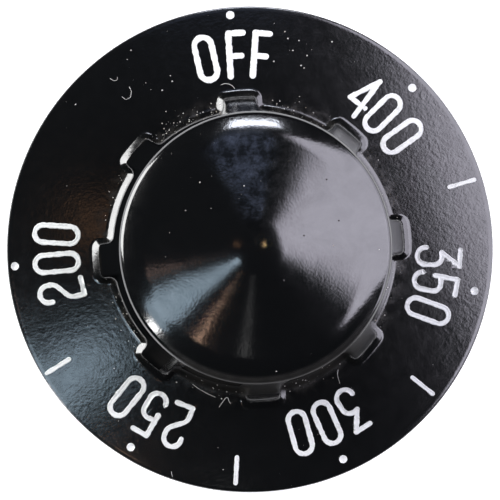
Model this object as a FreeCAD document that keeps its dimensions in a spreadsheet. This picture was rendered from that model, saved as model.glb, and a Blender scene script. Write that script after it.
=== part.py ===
"""Oven control knob: a moulded dial with a ribbed grip, and the leaf spring in its shaft socket.

Frame: millimetres, +Z out of the dial's face along the knob's axis, +Y towards the OFF position,
origin at the centre of the back rim, on which the knob lies.
"""

import FreeCAD
import Part
import Sketcher
import math
import os

# Driving dimensions, in millimetres, degrees and counts.
SIZES = {
    # Skirt: the sloping disc that carries the scale.
    "skirt_diameter": 63.5,
    "skirt_slope": 5.4,
    "skirt_wall": 2.0,
    "edge_height": 2.6,
    "edge_round": 0.4,
    "back_land": 1.6,
    # Grip: the raised round handle, measured between its ribs.
    "grip_diameter": 36.4,
    "grip_height": 16.35,
    "grip_draft": 3.86,
    "grip_wall": 2.6,
    "root_round": 1.1,
    "rim_round": 0.9,
    # Top of the grip: a shallow cone with a soft apex and a rolled shoulder.
    "cone_slope": 10.0,
    "apex_radius": 3.6,
    "shoulder_width": 2.4,
    "shoulder_drop": 0.85,
    "shoulder_round": 14.0,
    "top_wall": 2.4,
    # Ribs on the outside of the grip, which lean inwards and die out under the rim.
    "rib_count": 8,
    "rib_width": 4.3,
    "rib_reach": 1.8,
    "rib_corner": 0.5,
    "rib_fade": 0.1,
    # Hub and the socket for a flatted shaft.
    "hub_diameter": 13.0,
    "hub_recess": 0.8,
    "socket_depth": 13.0,
    "shaft_diameter": 6.35,
    "shaft_across_flat": 4.76,
    "shaft_clearance": 0.05,
    # Webs between the hub and the grip's wall.
    "web_count": 4,
    "web_angle": 45.0,
    "web_thickness": 2.0,
    "web_setback": 5.0,
    # Leaf spring and its slot beside the flat of the socket.
    "spring_gauge": 0.4,
    "spring_width": 4.0,
    "spring_length": 8.0,
    "spring_foot": 1.0,
    "spring_leg_angle": 35.0,
    "spring_press": 0.35,
    "spring_bend": 0.3,
    "spring_setback": 4.6,
    "slot_depth": 1.4,
    "slot_clearance": 0.2,
}

# Two places nearer than this, in millimetres, are one and the same.
SAME_PLACE = 1e-3


def tangent(alias):
    """Expression for the tangent of an angle in the sheet."""
    return f"tan(sizes.{alias} * 1 deg)"


# Derived places, as expressions of the sheet's cells.
SKIRT_RADIUS = "sizes.skirt_diameter / 2"
GRIP_RADIUS = "sizes.grip_diameter / 2"
HUB_RADIUS = "sizes.hub_diameter / 2"


def skirt_top(radius):
    """Expression for the height of the skirt's face at a radius."""
    return f"(sizes.edge_height + ({SKIRT_RADIUS} - ({radius})) * {tangent('skirt_slope')})"


def skirt_underside(radius):
    """Expression for the height of the skirt's hidden face at a radius."""
    return f"({skirt_top(radius)} - sizes.skirt_wall / cos(sizes.skirt_slope * 1 deg))"


ROOT_Z = skirt_top(GRIP_RADIUS)
RIM_Z = f"({ROOT_Z} + sizes.grip_height)"
RIM_RADIUS = f"({GRIP_RADIUS} - sizes.grip_height * {tangent('grip_draft')})"
CEILING_Z = f"({RIM_Z} - sizes.top_wall)"
LAND_RADIUS = f"({SKIRT_RADIUS} - sizes.back_land)"
HOLLOW_RADIUS = f"({GRIP_RADIUS} - sizes.grip_wall)"
HOLLOW_RIM_RADIUS = f"({RIM_RADIUS} - sizes.grip_wall)"
SHOULDER_RADIUS = f"({RIM_RADIUS} - sizes.shoulder_width)"
SHOULDER_Z = f"({RIM_Z} + sizes.shoulder_drop)"
RIB_RADIUS = f"({GRIP_RADIUS} + sizes.rib_reach)"
SOCKET_RADIUS = "(sizes.shaft_diameter / 2 + sizes.shaft_clearance)"
FLAT_Y = "(sizes.shaft_across_flat - sizes.shaft_diameter / 2 + sizes.shaft_clearance)"
SLOT_BACK_Y = f"({FLAT_Y} + sizes.slot_depth)"
SPRING_LOW_Z = "(sizes.hub_recess + sizes.spring_setback)"
SPRING_HIGH_Z = f"({SPRING_LOW_Z} + sizes.spring_length)"


def grip_surface(height):
    """Expression for the radius of the grip's wall at a height."""
    return f"({GRIP_RADIUS} - (({height}) - {ROOT_Z}) * {tangent('grip_draft')})"


# The back of a rib is a straight line from inside the skirt's wall to just under the grip's surface.
RIB_LOW_Z = f"({skirt_top(RIB_RADIUS)} - sizes.skirt_wall / 4)"
RIB_HIGH_Z = f"({RIM_Z} - sizes.rim_round)"
RIB_END_RADIUS = f"({grip_surface(RIB_HIGH_Z)} - sizes.rib_fade)"
RIB_RISE = f"({RIB_HIGH_Z} - {RIB_LOW_Z})"
RIB_LEAN = f"atan(({RIB_RADIUS} - {RIB_END_RADIUS}) / {RIB_RISE})"

doc = FreeCAD.newDocument("oven_control_knob")
sheet = doc.addObject("Spreadsheet::Sheet", "sizes")
for row, (alias, value) in enumerate(SIZES.items(), start=1):
    sheet.set(f"A{row}", alias)
    sheet.set(f"B{row}", str(value))
    sheet.setAlias(f"B{row}", alias)
doc.recompute()


def measure(expression):
    """Present value of an expression of the sheet's cells."""
    return float(sheet.evalExpression(expression))


def new_body(label):
    """Body for one sub-part."""
    body = doc.addObject("PartDesign::Body", label)
    body.Label = label
    return body


def origin_feature(body, role):
    """Origin plane or axis of a body, by its role."""
    return next(item for item in body.Origin.OriginFeatures if item.Role == role)


def new_sketch(body, name, plane, place=("0", "0", "0"), axis=(0, 0, 1), turn="0 deg"):
    """Sketch on an origin plane, moved by three expressions and turned about an axis by a fourth."""
    sketch = body.newObject("Sketcher::SketchObject", name)
    sketch.AttachmentSupport = [(origin_feature(body, plane), "")]
    sketch.MapMode = "FlatFace"
    sketch.AttachmentOffset = FreeCAD.Placement(
        FreeCAD.Vector(), FreeCAD.Rotation(FreeCAD.Vector(*axis), measure(turn))
    )
    for letter, expression in zip("xyz", place):
        sketch.setExpression(f"AttachmentOffset.Base.{letter}", expression)
    sketch.setExpression("AttachmentOffset.Rotation.Angle", turn)
    doc.recompute()
    return sketch


def at(x, y):
    """Present place of a sketch point given by two expressions."""
    return FreeCAD.Vector(measure(x), measure(y), 0)


def fix_value(sketch, kind, *place, expression):
    """Add a dimension to a sketch and bind it to an expression."""
    index = sketch.addConstraint(Sketcher.Constraint(kind, *place, measure(expression)))
    sketch.setExpression(f"Constraints[{index}]", expression)


def fix_point(sketch, edge, end, x, y):
    """Hold one end of an edge at expressions x and y; 0 puts it on that axis."""
    for axis, kind, expression in ((-2, "DistanceX", x), (-1, "DistanceY", y)):
        if expression == "0":
            sketch.addConstraint(Sketcher.Constraint("PointOnObject", edge, end, axis))
        else:
            fix_value(sketch, kind, -1, 1, edge, end, expression=expression)


def draw_outline(sketch, corners, closed=True):
    """Draw straight edges through corners, with the corners fixed and some of them rounded.

    A corner is two expressions for its place and, where it is rounded, a third for the radius.
    The first and last corners of an open outline are sharp. Returns the straight edges.
    """
    count = len(corners)
    places = [at(*corner[:2]) for corner in corners]
    spans = [(index, (index + 1) % count) for index in range(count if closed else count - 1)]
    starts = dict(enumerate(places))
    ends = dict(enumerate(places))
    for index, corner in enumerate(corners):
        if len(corner) == 3:
            back = (places[index - 1] - places[index]).normalize()
            ahead = (places[(index + 1) % count] - places[index]).normalize()
            trim = measure(corner[2]) / math.tan(back.getAngle(ahead) / 2)
            ends[index] = places[index] + back * trim
            starts[index] = places[index] + ahead * trim
    edges = [
        sketch.addGeometry(Part.LineSegment(starts[first], ends[last])) for first, last in spans
    ]
    for index, corner in enumerate(corners):
        if not closed and index in (0, count - 1):
            edge, end = (edges[0], 1) if index == 0 else (edges[-1], 2)
            fix_point(sketch, edge, end, *corner)
        elif len(corner) == 2:
            sketch.addConstraint(Sketcher.Constraint("Coincident", edges[index - 1], 2, edges[index], 1))
            fix_point(sketch, edges[index], 1, *corner)
        else:
            round_corner(sketch, edges[index - 1], edges[index], corner)
    return edges


def round_corner(sketch, before, after, corner):
    """Join two trimmed edges by a tangent arc; their lines meet in a fixed construction point."""
    x, y, radius = corner
    tip = sketch.addGeometry(Part.Point(at(x, y)), True)
    fix_point(sketch, tip, 1, x, y)
    start = sketch.Geometry[before].EndPoint
    end = sketch.Geometry[after].StartPoint
    chord_middle = (start + end) / 2
    to_tip = at(x, y) - chord_middle
    half_chord = (end - start).Length / 2
    middle = chord_middle + to_tip.normalize() * (
        measure(radius) - math.sqrt(measure(radius) ** 2 - half_chord**2)
    )
    arc = sketch.addGeometry(Part.Arc(start, middle, end))
    turns_left = (start - chord_middle).cross(to_tip).z > 0
    first, last = (1, 2) if turns_left else (2, 1)
    sketch.addConstraint(
        [
            Sketcher.Constraint("PointOnObject", tip, 1, before),
            Sketcher.Constraint("PointOnObject", tip, 1, after),
            Sketcher.Constraint("Tangent", before, 2, arc, first),
            Sketcher.Constraint("Tangent", arc, last, after, 1),
        ]
    )
    fix_value(sketch, "Radius", arc, expression=radius)


def add_feature(body, kind, name, profile, **settings):
    """Add a sketch-based feature; text settings are expressions, the others plain values."""
    feature = body.newObject(f"PartDesign::{kind}", name)
    feature.Profile = profile
    profile.Visibility = False
    for key, setting in settings.items():
        if isinstance(setting, str):
            feature.setExpression(key, setting)
        else:
            setattr(feature, key, setting)
    doc.recompute()
    return feature


def add_cut(body, name, profile, length):
    """Cut a section upwards into the body by a length, and make sure that it takes material away."""
    before = body.Tip.Shape.Volume
    pocket = add_feature(body, "Pocket", name, profile, Length=length, Reversed=True)
    if pocket.Shape.Volume > before - SAME_PLACE:
        raise RuntimeError(f"{name} cuts nothing")


def add_pattern(body, feature, name, count):
    """Repeat a feature round the knob's axis."""
    pattern = body.newObject("PartDesign::PolarPattern", name)
    pattern.Originals = [feature]
    pattern.Axis = (origin_feature(body, "Z_Axis"), [""])
    pattern.Angle = 360
    pattern.setExpression("Occurrences", count)
    body.Tip = pattern
    doc.recompute()
    return pattern


def draw_turned_profile(sketch):
    """Half section of the moulding: cone, rim, grip wall, skirt, and the hollow with its hub."""
    cone_rise = f"({SHOULDER_RADIUS} - sizes.apex_radius) * {tangent('cone_slope')}"
    cone_start = ("sizes.apex_radius", f"({SHOULDER_Z} + {cone_rise})")
    hub_centre = ("0", "sizes.hub_recess")
    edges = draw_outline(
        sketch,
        [
            hub_centre,
            (HUB_RADIUS, "sizes.hub_recess"),
            (HUB_RADIUS, CEILING_Z),
            (HOLLOW_RIM_RADIUS, CEILING_Z),
            (HOLLOW_RADIUS, skirt_underside(HOLLOW_RADIUS)),
            (LAND_RADIUS, skirt_underside(LAND_RADIUS)),
            (LAND_RADIUS, "0"),
            (SKIRT_RADIUS, "0"),
            (SKIRT_RADIUS, "sizes.edge_height", "sizes.edge_round"),
            (GRIP_RADIUS, ROOT_Z, "sizes.root_round"),
            (RIM_RADIUS, RIM_Z, "sizes.rim_round"),
            (SHOULDER_RADIUS, SHOULDER_Z, "sizes.shoulder_round"),
            cone_start,
        ],
        closed=False,
    )

    # The soft apex is a ball cap that runs on into the cone.
    cap_radius = measure("sizes.apex_radius / sin(sizes.cone_slope * 1 deg)")
    cap_start = at(*cone_start)
    cap_centre = cap_start.y - measure(f"sizes.apex_radius / {tangent('cone_slope')}")
    apex = FreeCAD.Vector(0, cap_centre + cap_radius, 0)
    middle_x = cap_start.x / 2
    middle = FreeCAD.Vector(middle_x, cap_centre + math.sqrt(cap_radius**2 - middle_x**2), 0)
    cap = sketch.addGeometry(Part.Arc(cap_start, middle, apex))
    axis = sketch.addGeometry(Part.LineSegment(apex, at(*hub_centre)))
    sketch.addConstraint(
        [
            Sketcher.Constraint("Tangent", edges[-1], 2, cap, 1),
            Sketcher.Constraint("PointOnObject", cap, 2, -2),
            Sketcher.Constraint("PointOnObject", cap, 3, -2),
            Sketcher.Constraint("Coincident", cap, 2, axis, 1),
            Sketcher.Constraint("Coincident", axis, 2, edges[0], 1),
        ]
    )


def draw_rib_section(sketch):
    """Section of one rib across its lean: parallel flanks, rounded corners and a curved back at y 0."""
    half_width = "(sizes.rib_width / 2)"
    inner_y = "(sizes.rib_reach + sizes.grip_wall / 8)"
    radius = measure(RIB_RADIUS)
    corner = measure("sizes.rib_corner")
    corner_x = measure(half_width) - corner
    corner_y = math.sqrt((radius - corner) ** 2 - corner_x**2)
    turn = math.atan2(corner_y, corner_x)

    def arc(x, y, size, start, end):
        circle = Part.Circle(FreeCAD.Vector(x, y - radius, 0), FreeCAD.Vector(0, 0, 1), size)
        return sketch.addGeometry(Part.ArcOfCircle(circle, start, end))

    inner_left = at(f"-{half_width}", f"-{inner_y}")
    inner_right = at(half_width, f"-{inner_y}")
    outer_left = FreeCAD.Vector(inner_left.x, corner_y - radius, 0)
    outer_right = FreeCAD.Vector(inner_right.x, corner_y - radius, 0)
    inner = sketch.addGeometry(Part.LineSegment(inner_left, inner_right))
    right_flank = sketch.addGeometry(Part.LineSegment(inner_right, outer_right))
    right_corner = arc(corner_x, corner_y, corner, 0, turn)
    back = arc(0, 0, radius, turn, math.pi - turn)
    left_corner = arc(-corner_x, corner_y, corner, math.pi - turn, math.pi)
    left_flank = sketch.addGeometry(Part.LineSegment(outer_left, inner_left))

    fix_point(sketch, inner, 1, f"-{half_width}", f"-{inner_y}")
    fix_point(sketch, inner, 2, half_width, f"-{inner_y}")
    sketch.addConstraint(
        [
            Sketcher.Constraint("Coincident", inner, 2, right_flank, 1),
            Sketcher.Constraint("Vertical", right_flank),
            Sketcher.Constraint("Tangent", right_flank, 2, right_corner, 1),
            Sketcher.Constraint("Tangent", right_corner, 2, back, 1),
            Sketcher.Constraint("Tangent", back, 2, left_corner, 1),
            Sketcher.Constraint("Tangent", left_corner, 2, left_flank, 1),
            Sketcher.Constraint("Vertical", left_flank),
            Sketcher.Constraint("Coincident", left_flank, 2, inner, 1),
            Sketcher.Constraint("PointOnObject", back, 3, -2),
            Sketcher.Constraint("PointOnObject", -1, 1, back),
        ]
    )
    fix_value(sketch, "Radius", back, expression=RIB_RADIUS)
    for rounded in (right_corner, left_corner):
        fix_value(sketch, "Radius", rounded, expression="sizes.rib_corner")


def add_ribs(body):
    """Pad one rib along its lean, from the skirt's wall to the rim, and repeat it round the grip."""
    foot = ("0", RIB_RADIUS, RIB_LOW_Z)
    section = new_sketch(body, "rib_section", "XY_Plane", place=foot, axis=(1, 0, 0), turn=RIB_LEAN)
    draw_rib_section(section)
    rib = add_feature(body, "Pad", "rib", section, Length=f"{RIB_RISE} / cos({RIB_LEAN})")
    add_pattern(body, rib, "ribs", "sizes.rib_count")


def add_socket(body):
    """Cut the flatted socket for the shaft, and the slot for the spring beside its flat."""
    mouth = ("0", "0", "sizes.hub_recess")
    socket = new_sketch(body, "socket_section", "XY_Plane", place=mouth)
    radius = measure(SOCKET_RADIUS)
    flat = measure(FLAT_Y)
    flat_end = math.sqrt(radius**2 - flat**2)
    turn = math.atan2(flat, flat_end)
    circle = Part.Circle(FreeCAD.Vector(), FreeCAD.Vector(0, 0, 1), radius)
    round_wall = socket.addGeometry(Part.ArcOfCircle(circle, math.pi - turn, 2 * math.pi + turn))
    flat_wall = socket.addGeometry(
        Part.LineSegment(FreeCAD.Vector(flat_end, flat, 0), FreeCAD.Vector(-flat_end, flat, 0))
    )
    socket.addConstraint(
        [
            Sketcher.Constraint("Coincident", round_wall, 2, flat_wall, 1),
            Sketcher.Constraint("Coincident", flat_wall, 2, round_wall, 1),
            Sketcher.Constraint("Coincident", round_wall, 3, -1, 1),
            Sketcher.Constraint("Horizontal", flat_wall),
        ]
    )
    fix_value(socket, "Radius", round_wall, expression=SOCKET_RADIUS)
    fix_value(socket, "DistanceY", -1, 1, flat_wall, 1, expression=FLAT_Y)
    add_cut(body, "shaft_socket", socket, "sizes.socket_depth")

    slot = new_sketch(body, "slot_section", "XY_Plane", place=mouth)
    half_width = "(sizes.spring_width / 2 + sizes.slot_clearance)"
    draw_outline(
        slot,
        [
            (f"-{half_width}", "0"),
            (half_width, "0"),
            (half_width, SLOT_BACK_Y),
            (f"-{half_width}", SLOT_BACK_Y),
        ],
    )
    slot_length = "sizes.spring_setback + sizes.spring_length + sizes.slot_clearance"
    add_cut(body, "spring_slot", slot, slot_length)


def add_webs(body):
    """Pad one web from the hub into the grip's wall and ceiling, and repeat it."""
    low = "(sizes.hub_recess + sizes.web_setback)"
    section = new_sketch(
        body, "web_section", "XY_Plane", place=("0", "0", low), turn="sizes.web_angle * 1 deg"
    )
    half_thickness = "sizes.web_thickness / 2"
    hub_end = f"({HUB_RADIUS} - {half_thickness})"
    wall_end = f"({HOLLOW_RADIUS} + sizes.grip_wall / 4)"
    draw_outline(
        section,
        [
            (hub_end, f"-{half_thickness}"),
            (wall_end, f"-{half_thickness}"),
            (wall_end, half_thickness),
            (hub_end, half_thickness),
        ],
    )
    web = add_feature(
        body, "Pad", "web", section, Length=f"{CEILING_Z} + sizes.top_wall / 4 - {low}"
    )
    add_pattern(body, web, "webs", "sizes.web_count")


def build_dial_body():
    """Moulded dial: turned form, ribs, webs, hub socket and spring slot."""
    body = new_body("dial_body")
    profile = new_sketch(body, "turned_profile", "XZ_Plane")
    draw_turned_profile(profile)
    add_feature(
        body, "Revolution", "turned_form", profile, ReferenceAxis=(profile, ["V_Axis"]), Angle=360
    )
    add_ribs(body)
    add_webs(body)
    add_socket(body)
    return body


def build_shaft_spring():
    """Leaf spring: two feet on the slot's back wall and a crest that stands into the socket."""
    body = new_body("shaft_spring")
    section = new_sketch(body, "leaf_section", "YZ_Plane")
    rise = "(sizes.slot_depth + sizes.spring_press - sizes.spring_gauge)"
    leg_run = f"({rise} / {tangent('spring_leg_angle')})"
    bend_shift = "(sizes.spring_gauge * tan(sizes.spring_leg_angle / 2 * 1 deg))"
    inner = "sizes.spring_bend"
    outer = "(sizes.spring_bend + sizes.spring_gauge)"
    crest_back = f"({SLOT_BACK_Y} - {rise})"
    foot_front = f"({SLOT_BACK_Y} - sizes.spring_gauge)"
    crest_front = f"({crest_back} - sizes.spring_gauge)"
    low_bend = f"({SPRING_LOW_Z} + sizes.spring_foot)"
    high_bend = f"({SPRING_HIGH_Z} - sizes.spring_foot)"
    draw_outline(
        section,
        [
            (SLOT_BACK_Y, SPRING_LOW_Z),
            (SLOT_BACK_Y, low_bend, outer),
            (crest_back, f"{low_bend} + {leg_run}", inner),
            (crest_back, f"{high_bend} - {leg_run}", inner),
            (SLOT_BACK_Y, high_bend, outer),
            (SLOT_BACK_Y, SPRING_HIGH_Z),
            (foot_front, SPRING_HIGH_Z),
            (foot_front, f"{high_bend} + {bend_shift}", inner),
            (crest_front, f"{high_bend} - {leg_run} + {bend_shift}", outer),
            (crest_front, f"{low_bend} + {leg_run} - {bend_shift}", outer),
            (foot_front, f"{low_bend} - {bend_shift}", inner),
            (foot_front, SPRING_LOW_Z),
        ],
    )
    add_feature(body, "Pad", "leaf", section, Length="sizes.spring_width", Midplane=True)
    return body


dial_body = build_dial_body()
shaft_spring = build_shaft_spring()
doc.recompute()

for item in doc.Objects:
    if "Invalid" in item.State or "Error" in item.State:
        raise RuntimeError(f"{item.Name} failed: {item.State}")
sub_parts = (dial_body, shaft_spring)
for part in sub_parts:
    if part.Shape.isNull() or not part.Shape.isValid():
        raise RuntimeError(f"{part.Label} has no valid shape")

os.makedirs("parts", exist_ok=True)
for part in sub_parts:
    part.Shape.exportStep(f"parts/{part.Label}.step")
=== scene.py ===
"""Looks of an oven control knob: a black ribbed dial with a white engraved scale."""

import logging
import math
from dataclasses import dataclass, field
from enum import Enum, auto
from functools import partial
from typing import Callable, Iterable, NamedTuple, Sequence

import bmesh
import bpy
from bpy.types import Material, Node, NodeOutputs, NodeSocket, NodeTree, Object
from mathutils import Matrix, Vector


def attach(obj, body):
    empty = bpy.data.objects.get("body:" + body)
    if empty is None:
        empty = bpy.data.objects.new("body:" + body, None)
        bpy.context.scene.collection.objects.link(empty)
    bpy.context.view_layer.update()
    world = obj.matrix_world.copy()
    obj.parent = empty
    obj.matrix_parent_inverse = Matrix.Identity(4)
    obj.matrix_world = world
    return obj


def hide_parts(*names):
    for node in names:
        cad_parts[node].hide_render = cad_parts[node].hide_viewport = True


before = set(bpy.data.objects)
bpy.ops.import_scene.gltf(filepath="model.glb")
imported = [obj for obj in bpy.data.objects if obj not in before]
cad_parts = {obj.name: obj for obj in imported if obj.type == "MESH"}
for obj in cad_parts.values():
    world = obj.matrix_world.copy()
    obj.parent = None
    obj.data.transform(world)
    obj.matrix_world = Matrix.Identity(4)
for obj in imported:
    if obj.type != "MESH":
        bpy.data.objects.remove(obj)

LOG = logging.getLogger("scene")
MM = 0.001
# Width of the photograph in pixels.
IMAGE_SIZE = 500

# Type names of the nodes that are used most, and a setting that eases a range in and out.
MATH = "ShaderNodeMath"
VECTOR_MATH = "ShaderNodeVectorMath"
MAP_RANGE = "ShaderNodeMapRange"
NOISE = "ShaderNodeTexNoise"
BUMP = "ShaderNodeBump"
MIX = "ShaderNodeMix"
COMBINE = "ShaderNodeCombineXYZ"
SEPARATE = "ShaderNodeSeparateXYZ"
SMOOTH = {"interpolation_type": "SMOOTHSTEP"}
# Sockets of a mix node: its share, its two numbers and its two colours, and its colour mode.
SHARE, NUMBER_A, NUMBER_B, COLOUR_A, COLOUR_B = 0, 2, 3, 6, 7
RGBA = {"data_type": "RGBA"}
# Watts that give a lamp of one square metre a radiance of one.
LAMP_WATTS = 4.0
# Halvings that find where a rib ends, and rounds that settle the height of its foot.
HALVINGS = 40
FOOT_ROUNDS = 6

Colour = tuple[float, float, float, float]
Place = tuple[float, float, float]
AddNode = Callable[..., Node]
Inputs = dict[str | int, object]


class Corner(NamedTuple):
    """A corner of a flat path in mm, with the radius that rounds it."""

    x: float
    y: float
    radius: float = 0.0


class Spot(NamedTuple):
    """A point of a flat path in mm."""

    x: float
    y: float


def linear(code: str) -> Colour:
    """Turn an sRGB hex code into a linear colour.

    Args:
        code: The colour as # and six hex digits.

    Returns:
        Red, green, blue and alpha for a node socket.
    """
    parts = []
    for start in (1, 3, 5):
        value = int(code[start:start + 2], 16) / 255
        parts.append(value / 12.92 if value <= 0.04045 else ((value + 0.055) / 1.055) ** 2.4)
    return (parts[0], parts[1], parts[2], 1.0)


def mix(low: float, high: float, share: float) -> float:
    """Return the value a share of the way from low to high."""
    return low + (high - low) * share


def heading(degrees: float) -> Place:
    """Return the level unit vector at an angle from +X."""
    angle = math.radians(degrees)
    return (math.cos(angle), math.sin(angle), 0.0)


def round_path(corners: Sequence[Corner], chord: float, closed: bool = False) -> list[Spot]:
    """Turn corners with radii into the points of lines and arcs.

    Args:
        corners: The path's corners in order.
        chord: The longest step along an arc, in mm.
        closed: Whether the last corner leads back to the first.

    Returns:
        The points of the path, without the first one repeated at the end.
    """
    spots: list[Spot] = []
    for index, corner in enumerate(corners):
        is_end = not closed and index in (0, len(corners) - 1)
        if corner.radius <= 0 or is_end:
            spots.append(Spot(corner.x, corner.y))
            continue
        here = Vector((corner.x, corner.y))
        back = (Vector(corners[index - 1][:2]) - here).normalized()
        ahead = (Vector(corners[(index + 1) % len(corners)][:2]) - here).normalized()
        between = back.angle(ahead)
        turn = math.pi - between
        centre = here + (back + ahead).normalized() * corner.radius / math.sin(between / 2)
        arm = here + back * corner.radius * math.tan(turn / 2) - centre
        side = 1 if back.cross(ahead) < 0 else -1
        steps = max(2, math.ceil(turn * corner.radius / chord))
        for step in range(steps + 1):
            angle = side * turn * step / steps
            spots.append(Spot(
                centre.x + arm.x * math.cos(angle) - arm.y * math.sin(angle),
                centre.y + arm.x * math.sin(angle) + arm.y * math.cos(angle),
            ))
    return spots


def split_spans(spots: Sequence[Spot], longest: float) -> list[Spot]:
    """Divide the long spans of a path evenly.

    Args:
        spots: The points of the path.
        longest: The longest span that stays whole, in mm.

    Returns:
        The points with the new ones between them.
    """
    result = [spots[0]]
    for start, end in zip(spots, spots[1:]):
        steps = max(1, math.ceil(math.dist(start, end) / longest))
        for step in range(1, steps + 1):
            share = step / steps
            result.append(Spot(mix(start.x, end.x, share), mix(start.y, end.y, share)))
    return result


def fill(tree: NodeTree, node: Node, inputs: Inputs) -> None:
    """Set or link the sockets of a node.

    Args:
        tree: The tree that holds the node.
        node: The node.
        inputs: Sockets by name or number, each with a value, the socket that feeds it, or a node
            whose first output in use feeds it.
    """
    for key, value in inputs.items():
        if isinstance(value, Node):
            value = next(socket for socket in value.outputs if socket.enabled)
        if isinstance(value, NodeSocket):
            tree.links.new(value, node.inputs[key])
        else:
            node.inputs[key].default_value = value


def add_node(
    tree: NodeTree, kind: str, inputs: Inputs | None = None, **settings: object
) -> Node:
    """Add a node to a tree with its settings, values and links.

    Args:
        tree: The tree that takes the node.
        kind: The node's type name.
        inputs: What its sockets take, as for fill.
        **settings: Properties of the node.

    Returns:
        The new node.
    """
    node = tree.nodes.new(kind)
    for name, value in settings.items():
        setattr(node, name, value)
    fill(tree, node, inputs or {})
    return node


def new_tree(
    name: str, inputs: dict[str, str]
) -> tuple[NodeTree, AddNode, NodeOutputs]:
    """Start a geometry tree with one geometry in and out.

    Args:
        name: The tree's name.
        inputs: Names of the further inputs with the kinds of their sockets.

    Returns:
        The tree, a function that adds its nodes, and its inputs.
    """
    tree = bpy.data.node_groups.new(name, "GeometryNodeTree")
    for label, kind in {"Geometry": "Geometry", **inputs}.items():
        tree.interface.new_socket(label, in_out="INPUT", socket_type=f"NodeSocket{kind}")
    tree.interface.new_socket("Geometry", in_out="OUTPUT", socket_type="NodeSocketGeometry")
    add = partial(add_node, tree)
    return tree, add, add("NodeGroupInput").outputs


def end_tree(add: AddNode, geometry: Node, material: NodeSocket) -> None:
    """Finish a geometry tree with real meshes that carry their material.

    Args:
        add: Adds a node to the tree.
        geometry: The node that gives the finished geometry.
        material: The socket with the material.
    """
    real = add("GeometryNodeRealizeInstances", {"Geometry": geometry})
    finish = add("GeometryNodeSetMaterial", {"Geometry": real, "Material": material})
    add("NodeGroupOutput", {"Geometry": finish})


def link_object(name: str, data: bpy.types.ID) -> Object:
    """Make an object that holds data, and link it to the scene.

    Args:
        name: The object's name.
        data: Its mesh, lamp or camera.

    Returns:
        The new object.
    """
    obj = bpy.data.objects.new(name, data)
    bpy.context.scene.collection.objects.link(obj)
    return obj


def new_object(
    name: str,
    places: Iterable[Place],
    edges: Iterable[tuple[int, int]] = (),
    faces: Iterable[Sequence[int]] = (),
) -> Object:
    """Make an object at the origin from places in mm.

    Args:
        name: The object's name.
        places: The vertices in mm.
        edges: Loose edges between them.
        faces: Faces between them.

    Returns:
        The new object.
    """
    mesh = bpy.data.meshes.new(name)
    mesh.from_pydata([[value * MM for value in place] for place in places], list(edges), list(faces))
    return link_object(name, mesh)


def settle(obj: Object) -> None:
    """Replace an object's mesh with the result of its modifiers.

    Args:
        obj: The object.
    """
    bpy.context.view_layer.update()
    depsgraph = bpy.context.evaluated_depsgraph_get()
    mesh = bpy.data.meshes.new_from_object(obj.evaluated_get(depsgraph), depsgraph=depsgraph)
    obj.modifiers.clear()
    obj.data = mesh


def grow(obj: Object, tree: NodeTree, values: dict[str, object]) -> None:
    """Run a geometry tree on an object and keep the result as a plain mesh.

    Args:
        obj: The object.
        tree: The geometry tree.
        values: The tree's inputs by name.
    """
    modifier = obj.modifiers.new(tree.name, "NODES")
    modifier.node_group = tree
    for item in tree.interface.items_tree:
        if item.in_out == "INPUT" and item.name in values:
            modifier[item.identifier] = values[item.name]
    settle(obj)


def carve(obj: Object, tool: Object, operation: str) -> None:
    """Join a tool body to an object or cut it out, and remove the tool.

    Args:
        obj: The object that changes.
        tool: The closed body to add or cut.
        operation: The kind of boolean.
    """
    modifier = obj.modifiers.new("carve", "BOOLEAN")
    modifier.object = tool
    modifier.operation = operation
    modifier.solver = "MANIFOLD"
    settle(obj)
    bpy.data.objects.remove(tool)


def face_outwards(obj: Object) -> None:
    """Turn the faces of a closed mesh outwards.

    Args:
        obj: The object with the mesh.
    """
    work = bmesh.new()
    work.from_mesh(obj.data)
    bmesh.ops.recalc_face_normals(work, faces=work.faces)
    work.to_mesh(obj.data)
    work.free()


def prism(name: str, outline: Sequence[Spot], low: float, high: float) -> Object:
    """Make an upright prism.

    Args:
        name: The object's name.
        outline: The outline in plan, in mm.
        low: Height of its lower face in mm.
        high: Height of its upper face in mm.

    Returns:
        The closed body.
    """
    count = len(outline)
    places = [(spot.x, spot.y, height) for height in (low, high) for spot in outline]
    sides = [(i, (i + 1) % count, count + (i + 1) % count, count + i) for i in range(count)]
    obj = new_object(name, places, faces=[*sides, range(count), range(count, 2 * count)])
    face_outwards(obj)
    return obj


@dataclass(frozen=True)
class Finish:
    """A named material whose nodes a subclass adds."""

    name: str

    def start(self) -> tuple[Material, AddNode, NodeSocket]:
        """Make the material with its plain shader.

        Returns:
            The material, a function that adds its nodes, and its Object coordinates.
        """
        material = bpy.data.materials.new(self.name)
        material.use_nodes = True
        add = partial(add_node, material.node_tree)
        return material, add, add("ShaderNodeTexCoord").outputs["Object"]

    @staticmethod
    def coat(material: Material, inputs: Inputs) -> Material:
        """Set or link the sockets of the material's shader, and return the material."""
        fill(material.node_tree, material.node_tree.nodes["Principled BSDF"], inputs)
        return material

    def build(self) -> Material:
        """Make the material."""
        raise NotImplementedError


class Zone(NamedTuple):
    """A stretch of heights or radii in mm over which one look gives way to another."""

    begin: float
    end: float

    def limits(self) -> dict[str, float]:
        """Return the stretch as the limits of a range, in metres."""
        return {"From Min": self.begin * MM, "From Max": self.end * MM}


GRIP_FOOT = Zone(5.0, 9.0)
GRIP_TOP = Zone(17.0, 19.0)


class Relief(NamedTuple):
    """A moulded relief in mm: width of its bumps, and their depth below and above a zone."""

    width: float
    below: float
    above: float
    zone: Zone
    detail: float = 1.0
    roughness: float = 0.5


class Bearings(NamedTuple):
    """What says where a point of the moulding lies."""

    place: NodeSocket
    height: NodeSocket
    radius: Node
    way: Node
    angle: Node


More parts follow.
